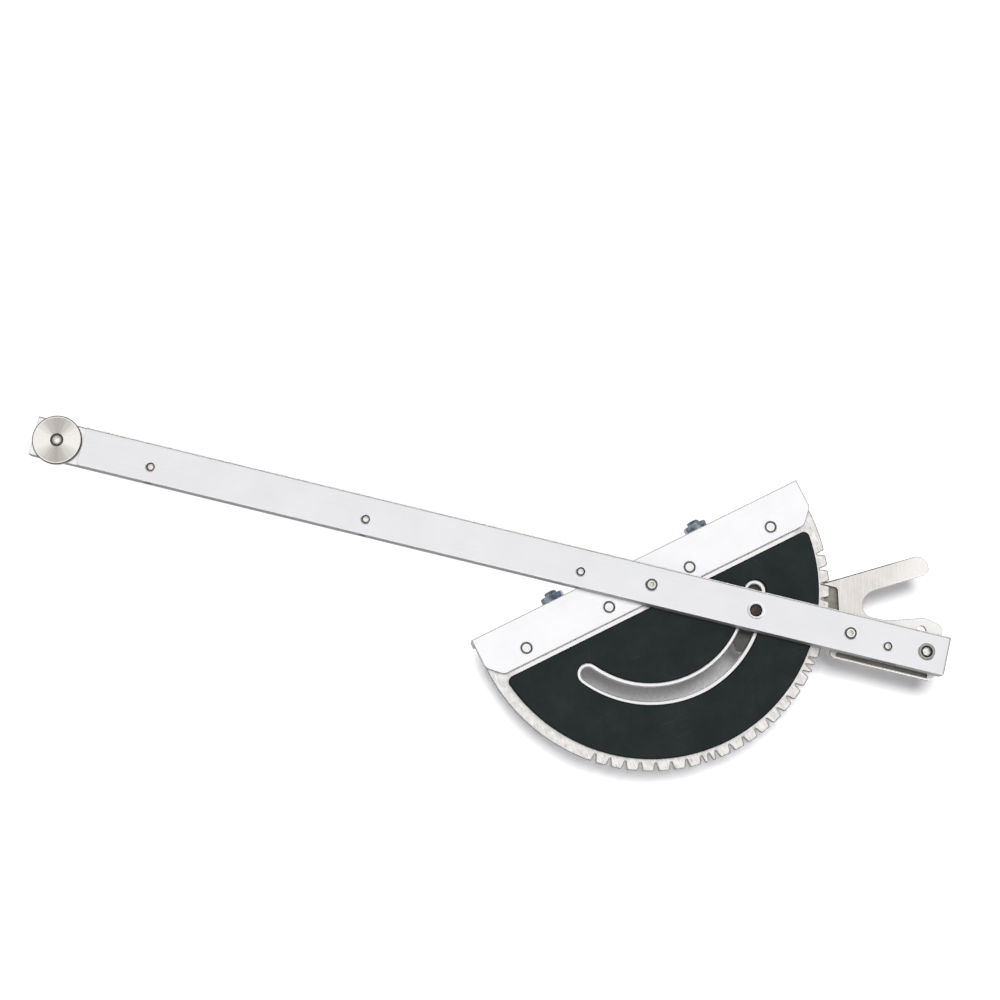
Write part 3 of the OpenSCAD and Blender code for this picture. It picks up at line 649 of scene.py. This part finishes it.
def arcHole(radius, width, start, end, steps=10):
    # a slot along an arc about the origin, walked the other way round from an outline
    sweep = [start + (end - start) * step / steps for step in range(steps + 1)]
    outer = [polar(radius + width / 2, angle) for angle in sweep]
    cap = [polar(radius, end) + polar(width / 2, end + 180 * step / steps) for step in range(1, steps)]
    inner = [polar(radius - width / 2, angle) for angle in reversed(sweep)]
    back = start + 180
    tail = [polar(radius, start) + polar(width / 2, back + 180 * step / steps) for step in range(1, steps)]
    return list(reversed(outer + cap + inner + tail))


def flatPlate(name, outlines, bottom, thickness, edge, place, material, body):
    # outlines in millimetres: the outside first, then the holes
    curve = bpy.data.curves.new(name, "CURVE")
    curve.dimensions = "2D"
    curve.fill_mode = "BOTH"
    curve.extrude = (thickness / 2 - edge) * mm
    curve.bevel_depth = edge * mm
    curve.bevel_resolution = 2
    curve.offset = -edge * mm
    for outline in outlines:
        spline = curve.splines.new("POLY")
        spline.points.add(len(outline) - 1)
        for point, spot in zip(spline.points, outline):
            point.co = (spot.x * mm, spot.y * mm, 0, 1)
        spline.use_cyclic_u = True
    mesh = meshOf(curve)
    shape = bmesh.new()
    shape.from_mesh(mesh)
    bpy.data.meshes.remove(mesh)
    bmesh.ops.remove_doubles(shape, verts=shape.verts, dist=0.001 * mm)
    bmesh.ops.translate(shape, verts=shape.verts, vec=(0, 0, (bottom + thickness / 2) * mm))
    bmesh.ops.transform(shape, verts=shape.verts, matrix=place)
    return makePiece(name, shape, material, body, smooth=False)


# Index lever with rounded edges. Its side beside the bar stands further out than the solid's, with a long
# window in it.
leverShape = {
    "pivot": centreOf("lever_post").x / mm, "stop": centreOf("stop_post").x / mm,
    "bottom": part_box("index_lever")[0].z / mm, "thickness": 3, "edge": 0.45,
    "notchRadius": 85.5, "notchFloor": 0.6, "notchAngle": 14.71, "bearing": -15.1, "gap": 0.3,
    "finger": 54, "fingerWidth": 10.2, "fingerRoot": 21, "fingerCorners": (5.5, 3.5), "crotch": 9,
    "hook": 8.2, "hookCorner": 2, "side": 12.1, "front": 5.8, "shoulder": 12, "corner": 3,
    "tail": 46.6, "tailEnd": 16, "tailCorner": 4,
    "tailCurve": [(3, -11.6, 6), (19, -12.4, 8), (37, -18.2, 8)],  # x, y and radius, from crotch to tail
    "window": ((-2.6, 9.0), (43.4, 10.8)), "windowCorner": 0.8, "pivotHole": 3.05,
    "slotWidth": 4.8, "swing": 16, "slotMargin": 1.3, "springHole": 0.55, "coil": 5.7,
}


def leverOutline(shape):
    bearing, flare, gap = shape["bearing"], shape["notchAngle"], shape["gap"]
    slopeHighlight = math.radians(flare)
    halfTip = shape["notchFloor"] / 2 + gap * math.tan(slopeHighlight) - gap / math.cos(slopeHighlight)
    tip = polar(shape["notchRadius"] + gap, bearing) - Vector((shape["pivot"], 0))
    across = polar(1, bearing + 90)
    finger = bearing - flare
    outer, inner = tip - across * halfTip, tip + across * halfTip
    end = outer + polar(shape["finger"], finger)
    innerEnd = end + polar(shape["fingerWidth"], finger + 90)
    crotch = innerEnd - polar(shape["finger"] - shape["fingerRoot"], finger)
    hook = inner + polar(shape["hook"], bearing + flare)
    tail, front, side, corner = shape["tail"], shape["front"], shape["side"], shape["corner"]
    outerCorner, innerCorner = shape["fingerCorners"]
    return roundedOutline([
        (*outer, 0), (*end, outerCorner), (*innerEnd, innerCorner), (*crotch, shape["crotch"]),
        *shape["tailCurve"], (tail, -shape["tailEnd"], shape["tailCorner"]), (tail, side, corner),
        (-front, side, corner), (-front, -shape["shoulder"], corner), (*hook, shape["hookCorner"]),
        (*inner, 0),
    ])


def makeLever(shape):
    reach = shape["stop"] - shape["pivot"]
    slot = arcHole(reach, shape["slotWidth"], -shape["swing"] - shape["slotMargin"], shape["slotMargin"])
    (left, low), (right, high) = shape["window"]
    places = ((left, low), (right, low), (right, high), (left, high))
    window = roundedOutline([(x, y, shape["windowCorner"]) for x, y in places])
    holes = [roundHole(0, 0, shape["pivotHole"]), slot, roundHole(0, shape["coil"], shape["springHole"], 16),
             list(reversed(window))]
    place = Matrix.Translation((shape["pivot"] * mm, 0, 0))
    piece = flatPlate("leverPlate", [leverOutline(shape), *holes], shape["bottom"], shape["thickness"],
                      shape["edge"], place, finishes["index_lever"], "lever")
    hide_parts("index_lever")
    return piece


makeLever(leverShape)

# Pointer plate: its wing reaches as far as the pawl, so that it closes the window beside it. Its dark tones
# are painted shade.
pointerShape = {
    "tip": 74, "point": 0.4, "neck": 5, "neckCorner": 2, "front": 86, "wing": 24, "wingWidth": 9,
    "wingSlope": 6, "wingCorner": 3, "innerCorner": 5, "end": 145.8, "corner": 4, "side": 8.5,
    "farSide": 11.4, "farStart": 96, "farCorner": 0.5,
    "bottom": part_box("pointer_plate")[0].z / mm, "thickness": 2, "edge": 0.3, "hole": 1.45,
}


def makePointer(shape):
    tip, point, neck, front, end = (shape[key] for key in ("tip", "point", "neck", "front", "end"))
    side, farSide, farStart, farCorner = (shape[key] for key in ("side", "farSide", "farStart", "farCorner"))
    wing, wingCorner, corner = shape["wing"], shape["wingCorner"], shape["corner"]
    wingEnd = front + shape["wingWidth"]
    outline = roundedOutline([
        (tip, -point, 0), (front, -neck, wingCorner), (front, -wing, wingCorner),
        (wingEnd, -wing, wingCorner), (wingEnd + shape["wingSlope"], -side, shape["innerCorner"]),
        (end, -side, corner), (end, farSide, corner), (farStart, farSide, farCorner),
        (farStart, side, farCorner), (front, side, corner), (front, neck, shape["neckCorner"]),
        (tip, point, 0),
    ])
    holes = [roundHole(leverShape[name], 0, shape["hole"], 20) for name in ("pivot", "stop")]
    piece = flatPlate("pointerPlate", [outline, *holes], shape["bottom"], shape["thickness"],
                      shape["edge"], Matrix(), finishes["pointer_plate"], "bar")
    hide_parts("pointer_plate")
    return piece


makePointer(pointerShape)
print("lever and pointer made")

# Lock knob: a spun profile whose outer part is drawn in between the lobes
knobShape = {
    "place": 52.3, "bottom": 7.8, "hub": 10.5, "radius": 19, "lobes": 8, "firstScallop": 22.5,
    "scallopPlace": 21.4, "scallopRadius": 5.37, "softness": 1.6, "bore": 5.05, "boreDepth": 20.2,
    "hubFoot": (9, 0, 0.6), "hubTop": (10.3, 4.2, 1),  # radius, height and rounding
    "underside": 4.2, "lowerRound": 1.5, "shoulder": 20.2, "upperRound": 6, "crown": 24.2, "steps": 192,
}


def makeKnob(shape):
    points = roundedOutline([
        (shape["bore"], 0, 0), shape["hubFoot"], shape["hubTop"],
        (shape["radius"], shape["underside"], shape["lowerRound"]),
        (shape["radius"], shape["shoulder"], shape["upperRound"]), (0, shape["crown"], 0),
    ], 8)
    points = [Vector((0, shape["boreDepth"])), Vector((shape["bore"], shape["boreDepth"]))] + points
    profile = bmesh.new()
    corners = [profile.verts.new((spot.x * mm, 0, spot.y * mm)) for spot in points]
    edges = [profile.edges.new(pair) for pair in zip(corners, corners[1:])]
    bmesh.ops.spin(profile, geom=corners + edges, cent=(0, 0, 0), axis=(0, 0, 1), angle=math.tau,
                   steps=shape["steps"], use_merge=True)
    bmesh.ops.remove_doubles(profile, verts=profile.verts, dist=0.001 * mm)
    step = 360 / shape["lobes"]
    reach, hollow, hub = shape["scallopPlace"], shape["scallopRadius"], shape["hub"]
    for vert in profile.verts:
        radius = math.hypot(vert.co.x, vert.co.y) / mm
        if radius <= hub:
            continue
        turn = math.degrees(math.atan2(vert.co.y, vert.co.x)) - shape["firstScallop"]
        away = math.radians((turn + step / 2) % step - step / 2)
        inside = hollow ** 2 - (reach * math.sin(away)) ** 2
        limit = reach * math.cos(away) - math.sqrt(inside) if inside > 0 else reach
        soft = shape["softness"]
        limit = -math.log(math.exp(-soft * limit) + math.exp(-soft * shape["radius"])) / soft
        drawn = (hub + (radius - hub) * (limit - hub) / (shape["radius"] - hub)) / radius
        vert.co.x *= drawn
        vert.co.y *= drawn
    bmesh.ops.translate(profile, verts=profile.verts, vec=(shape["place"] * mm, 0, shape["bottom"] * mm))
    piece = makePiece("knobBody", profile, finishes["lock_knob"], "knob")
    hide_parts("lock_knob")
    return piece


makeKnob(knobShape)

# Scale on the plate's top: a tick for each degree, a plain number for every tenth
scaleShape = {
    "last": 60, "level": 6.28, "height": 0.07, "width": 0.24, "bevel": 0.02,
    "outer": 73.4, "inner": {"degree": 71.4, "fifth": 70.2, "tenth": 68.8}, "numbers": 65.4, "textSize": 3.6,
}


def makeScale(shape):
    marks = bmesh.new()
    middle = (shape["level"] + shape["height"] / 2) * mm
    for reading in range(-shape["last"], shape["last"] + 1):
        kind = "tenth" if reading % 10 == 0 else "fifth" if reading % 5 == 0 else "degree"
        length = shape["outer"] - shape["inner"][kind]
        turn = Matrix.Rotation(math.radians(storedStop + reading), 4, "Z")
        place = Matrix.Translation(((shape["outer"] - length / 2) * mm, 0, middle))
        size = Matrix.Diagonal((length * mm, shape["width"] * mm, shape["height"] * mm, 1))
        bmesh.ops.create_cube(marks, size=1, matrix=turn @ place @ size)
    bmesh.ops.bevel(marks, geom=marks.edges[:], offset=shape["bevel"] * mm, segments=1, profile=0.5,
                    affect="EDGES", material=-1)
    for reading in range(-shape["last"], shape["last"] + 1, 10):
        curve = bpy.data.curves.new("reading", "FONT")
        curve.body = str(abs(reading))
        curve.size = shape["textSize"] * mm
        curve.extrude = shape["height"] / 2 * mm
        curve.align_x = "CENTER"
        curve.align_y = "CENTER"
        mesh = meshOf(curve)
        turn = Matrix.Rotation(math.radians(storedStop + reading), 4, "Z")
        place = Matrix.Translation((shape["numbers"] * mm, 0, middle))
        mesh.transform(turn @ place @ Matrix.Rotation(math.radians(90), 4, "Z"))
        marks.from_mesh(mesh)
        bpy.data.meshes.remove(mesh)
    bmesh.ops.remove_doubles(marks, verts=marks.verts, dist=0.0005 * mm)
    return makePiece("scaleMarks", marks, scalePaint("scale", paintLook), "head", smooth=False)


makeScale(scaleShape)

# Threads on the ends of the fence bolts, as ridges wound round them
threadShape = {
    "radius": 3.13, "wire": 0.2, "pitch": 1.27, "start": -20.95, "end": -22.35, "side": 41, "height": 37,
    "steps": 32,
}


def makeThread(name, side, shape):
    turns = (shape["start"] - shape["end"]) / shape["pitch"]
    count = round(turns * shape["steps"])
    curve = bpy.data.curves.new(name, "CURVE")
    curve.dimensions = "3D"
    curve.bevel_depth = shape["wire"] * mm
    curve.bevel_resolution = 2
    curve.use_fill_caps = True
    spline = curve.splines.new("POLY")
    spline.points.add(count)
    for step, point in enumerate(spline.points):
        across = polar(shape["radius"], 360 * step / shape["steps"])
        along = shape["start"] - shape["pitch"] * step / shape["steps"]
        point.co = (along * mm, (side + across.x) * mm, (shape["height"] + across.y) * mm, 1)
    mesh = meshOf(curve)
    ridge = bmesh.new()
    ridge.from_mesh(mesh)
    bpy.data.meshes.remove(mesh)
    bmesh.ops.transform(ridge, verts=ridge.verts, matrix=headPlace)
    return makePiece(name, ridge, finishes["fence_bolts"], "head")


for number, side in enumerate((-threadShape["side"], threadShape["side"]), 1):
    makeThread(f"thread{number}", side, threadShape)
print("knob, scale and threads made")

# Stage, in metres: a sheet above the gauge that shows from below, and a floor under it that shows from above
stageSetup = {
    "sheetLevel": 0.0507, "floorLevel": -0.0098, "size": 8.0,
    "paper": (1.3, 1.3, 1.335),  # over 1, as a sheet that is blown out to white
    # a painted shadow on the sheet under the head, from ambient occlusion
    "shade": {"reach": 0.15, "samples": 8, "deep": (0.42, 0.3), "clear": (0.53, 1.0)},  # under the head
    "fenceSide": {"start": 0.0, "full": -0.02},  # no shadow shows on that side
    "far": {"start": 0.6, "full": 1.4},  # both are plain white far off, where the lamps fade
    "glow": 0.98, "faint": 0.1,
}


def sheetPaper(name, facing):
    material = bpy.data.materials.new(name)
    material.use_nodes = True
    tree = material.node_tree
    tree.nodes.clear()
    tone, glow, faint = (stageSetup[key] for key in ("paper", "glow", "faint"))
    away = vectorWork(tree, "LENGTH", pattern(tree))
    share = fade(tree, away, *stageSetup["far"].values(), kind="SMOOTHSTEP")
    if facing < 0:
        shade = stageSetup["shade"]
        # painted shadow: the paper darkens where ambient occlusion is deep
        near = addNode(tree, "ShaderNodeAmbientOcclusion", Distance=shade["reach"], samples=shade["samples"])
        shadow = ramp(tree, near.outputs["AO"], (shade["deep"], shade["clear"]))
        tone = vectorWork(tree, "MULTIPLY", shadow, tone)
        # on the fence side the sheet glows instead of taking light, a painted light that hides the shadow
        # there
        across = split(tree, pattern(tree, turn=storedStop))[0]
        behind = fade(tree, across, *stageSetup["fenceSide"].values(), kind="SMOOTHSTEP")
        share = work(tree, "MAXIMUM", share, behind)
    paper = addNode(tree, "ShaderNodeBsdfDiffuse")
    feed(tree, paper.inputs["Color"], tone)
    shine = addNode(tree, "ShaderNodeEmission", Strength=glow)
    dull = addNode(tree, "ShaderNodeBsdfDiffuse", Color=(faint, faint, faint, 1))
    bright = addNode(tree, "ShaderNodeAddShader")
    tree.links.new(shine.outputs[0], bright.inputs[0])
    tree.links.new(dull.outputs[0], bright.inputs[1])
    lit = mixShaders(tree, share, paper.outputs[0], bright.outputs[0])
    clear = addNode(tree, "ShaderNodeBsdfTransparent")
    side = addNode(tree, "ShaderNodeNewGeometry")
    mix = mixShaders(tree, side.outputs["Backfacing"], lit, clear.outputs[0])
    output = addNode(tree, "ShaderNodeOutputMaterial")
    tree.links.new(mix, output.inputs[0])
    return material


def stagePiece(name, shape, material):
    mesh = bpy.data.meshes.new(name)
    shape.to_mesh(mesh)
    shape.free()
    mesh.materials.append(material)
    piece = bpy.data.objects.new(name, mesh)
    scene.collection.objects.link(piece)
    piece.visible_diffuse = False
    piece.visible_transmission = False
    piece.visible_shadow = False
    return piece


def makeStage(name, level, facing):
    shape = bmesh.new()
    bmesh.ops.create_grid(shape, x_segments=1, y_segments=1, size=stageSetup["size"] / 2)
    if facing < 0:
        bmesh.ops.reverse_faces(shape, faces=shape.faces)
    bmesh.ops.translate(shape, verts=shape.verts, vec=(0, 0, level))
    piece = stagePiece(name, shape, sheetPaper(name, facing))
    piece.visible_glossy = False
    return piece


makeStage("sheet", stageSetup["sheetLevel"], -1)
makeStage("floor", stageSetup["floorLevel"], 1)

# Soft lamps below and above, far enough off to light the whole bar evenly
lampSetup = {
    "keyBelow": {"place": (-0.2, -0.1, -2.4), "size": 0.5, "power": 46.5, "sheen": False},
    "fillBelow": {"place": (1.0, 1.1, -2.0), "size": 1.5, "power": 6, "sheen": True},
    "keyAbove": {"place": (-0.7, -1.0, 2.2), "size": 2.2, "power": 44, "sheen": False},
    "fillAbove": {"place": (1.2, 0.9, 2.0), "size": 1.5, "power": 6, "sheen": True},
}


def makeLamp(name, setup):
    data = bpy.data.lights.new(name, "AREA")
    data.shape = "SQUARE"
    data.size = setup["size"]
    data.energy = setup["power"]
    lamp = bpy.data.objects.new(name, data)
    scene.collection.objects.link(lamp)
    lamp.location = setup["place"]
    lamp.visible_glossy = setup["sheen"]
    lamp.rotation_euler = (-Vector(setup["place"])).to_track_quat("-Z", "Y").to_euler()
    return lamp


for name, setup in lampSetup.items():
    makeLamp(name, setup)

# A dark card that only metal reflects, so that edges and facets stand out from the white
cardSetup = {"place": (0.0, -1.6, 0.0), "size": (2.6, 0.9), "tone": 0.02, "rough": 0.9}


def makeCard(name, setup):
    shape = bmesh.new()
    bmesh.ops.create_grid(shape, x_segments=1, y_segments=1, size=0.5)
    bmesh.ops.scale(shape, verts=shape.verts, vec=(*setup["size"], 1))
    aim = (-Vector(setup["place"])).to_track_quat("Z", "Y").to_matrix()
    bmesh.ops.rotate(shape, verts=shape.verts, cent=(0, 0, 0), matrix=aim)
    bmesh.ops.translate(shape, verts=shape.verts, vec=setup["place"])
    material, tree, shader = newMaterial(name)
    feed(tree, shader.inputs["Base Color"], (setup["tone"],) * 3)
    shader.inputs["Roughness"].default_value = setup["rough"]
    card = stagePiece(name, shape, material)
    card.visible_camera = False
    return card


makeCard("cardBack", cardSetup)

# The world lights softly, and is white where the camera, metal or glass sees it
worldSetup = {"light": 0.17, "white": 1.0}


def makeWorld(setup):
    world = bpy.data.worlds.new("studio")
    scene.world = world
    world.use_nodes = True
    tree = world.node_tree
    tree.nodes.clear()
    soft = addNode(tree, "ShaderNodeBackground", Color=(1, 1, 1, 1), Strength=setup["light"])
    white = addNode(tree, "ShaderNodeBackground", Color=(1, 1, 1, 1), Strength=setup["white"])
    path = addNode(tree, "ShaderNodeLightPath").outputs
    seen = work(tree, "MAXIMUM", path["Is Camera Ray"], path["Is Glossy Ray"])
    seen = work(tree, "MAXIMUM", seen, path["Is Transmission Ray"])
    output = addNode(tree, "ShaderNodeOutputWorld")
    tree.links.new(mixShaders(tree, seen, soft.outputs[0], white.outputs[0]), output.inputs[0])


makeWorld(worldSetup)
print("stage and lamps made")
